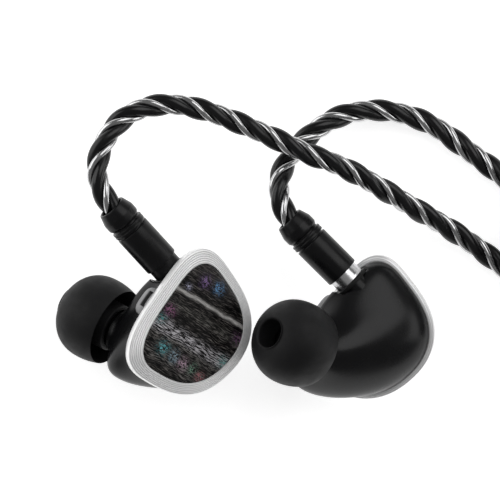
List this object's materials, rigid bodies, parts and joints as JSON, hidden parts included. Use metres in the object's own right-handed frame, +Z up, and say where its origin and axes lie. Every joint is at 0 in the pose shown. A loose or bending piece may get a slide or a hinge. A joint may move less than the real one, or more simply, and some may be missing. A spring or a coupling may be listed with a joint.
{
  "type": "in-ear monitors",
  "caption": "Pair of in-ear monitors with dark resin shells, ridged silver bezels, silicone ear tips and a twisted detachable cable.",
  "frame": {"origin": "on the table, under the middle of the two earpieces and their ear tips together, without the cable", "axes": "+Z up from the table, +X to the viewer's right towards the right earpiece and the put-away cable, +Y towards the cable's two connectors"},
  "size_m": [0.1923, 0.0532, 0.0217],
  "materials": {
    "shell_resin": "polished black resin",
    "bezel_metal": "bright, finely ridged",
    "faceplate_resin": "polished black with grey streaks and coloured flecks",
    "vent_resin": "satin grey",
    "nozzle_metal": "satin",
    "mesh_steel": "woven mesh",
    "socket_metal": "polished",
    "insulator": "matte",
    "gold": "gold plated",
    "gasket_rubber": "matte",
    "driver_steel": "satin",
    "diaphragm_film": "clear film",
    "board_laminate": "solder mask",
    "clear_tube": "clear",
    "silicone": "matte silicone",
    "black_metal": "black anodised, glossy",
    "cord_sheath": "glossy, twisted strands",
    "slider_rubber": "satin"
  },
  "bodies": {
    "cable": {"main_coil": "cord_sheath", "main_cord_end": "cord_sheath", "main_cord_lead": "cord_sheath", "plug_contact": "gold", "plug_handle": "black_metal", "plug_insulators": "insulator", "plug_relief": "slider_rubber", "splitter_body": "black_metal", "splitter_collar": "bezel_metal", "upper_coil": "cord_sheath", "left_cord": "cord_sheath", "left_cord_tail": "cord_sheath", "left_plug_barrel": "black_metal", "left_plug_cap": "black_metal", "left_plug_pin": "gold", "left_plug_sleeve": "socket_metal", "right_cord": "cord_sheath", "right_cord_tail": "cord_sheath", "right_plug_barrel": "black_metal", "right_plug_cap": "black_metal", "right_plug_pin": "gold", "right_plug_sleeve": "socket_metal"},
    "left_snap_ring": {"left_snap_ring": "socket_metal"},
    "left_earpiece": {"left_shell": "shell_resin", "left_bezel": "bezel_metal", "left_faceplate": "faceplate_resin", "left_vent": "vent_resin", "left_nozzle": "nozzle_metal", "left_nozzle_mesh": "mesh_steel", "left_socket": "socket_metal", "left_socket_insulator": "insulator", "left_socket_contact": "gold", "left_gasket": "gasket_rubber", "left_driver_frame": "driver_steel", "left_driver_magnet": "driver_steel", "left_driver_diaphragm": "diaphragm_film", "left_crossover_board": "board_laminate", "left_armature_driver": "driver_steel", "left_sound_tube": "clear_tube"},
    "left_ear_tip": {"left_ear_tip": "silicone"},
    "right_snap_ring": {"right_snap_ring": "socket_metal"},
    "right_earpiece": {"right_shell": "shell_resin", "right_bezel": "bezel_metal", "right_faceplate": "faceplate_resin", "right_vent": "vent_resin", "right_nozzle": "nozzle_metal", "right_nozzle_mesh": "mesh_steel", "right_socket": "socket_metal", "right_socket_insulator": "insulator", "right_socket_contact": "gold", "right_gasket": "gasket_rubber", "right_driver_frame": "driver_steel", "right_driver_magnet": "driver_steel", "right_driver_diaphragm": "diaphragm_film", "right_crossover_board": "board_laminate", "right_armature_driver": "driver_steel", "right_sound_tube": "clear_tube"},
    "right_ear_tip": {"right_ear_tip": "silicone"},
    "chin_slider": {"chin_slider": "slider_rubber"}
  },
  "joints": [
    {"name": "left_swivel", "type": "hinge", "parent": "cable", "child": "left_snap_ring", "pos_m": [-0.01089, 0.00808, 0.01278], "axis": [-0.6553, 0.7164, 0.2395], "range_deg": [-115, 55]},
    {"name": "left_unplug", "type": "slide", "parent": "left_snap_ring", "child": "left_earpiece", "axis": [0.6553, -0.7164, -0.2395], "range_m": [0, 0.0036]},
    {"name": "left_tip_pull", "type": "slide", "parent": "left_earpiece", "child": "left_ear_tip", "axis": [-0.798, 0.4214, -0.4308], "range_m": [0, 0.006]},
    {"name": "right_swivel", "type": "hinge", "parent": "cable", "child": "right_snap_ring", "pos_m": [0.01646, 0.00645, 0.00801], "axis": [-0.7057, 0.7011, 0.1024], "range_deg": [-8, 115]},
    {"name": "right_unplug", "type": "slide", "parent": "right_snap_ring", "child": "right_earpiece", "axis": [0.7057, -0.7011, -0.1024], "range_m": [0, 0.0036]},
    {"name": "right_tip_pull", "type": "slide", "parent": "right_earpiece", "child": "right_ear_tip", "axis": [-0.6574, 0.2646, 0.7055], "range_m": [0, 0.006]},
    {"name": "chin_slide", "type": "slide", "parent": "cable", "child": "chin_slider", "axis": [1, 0, 0], "range_m": [0, 0.006]}
  ]
}
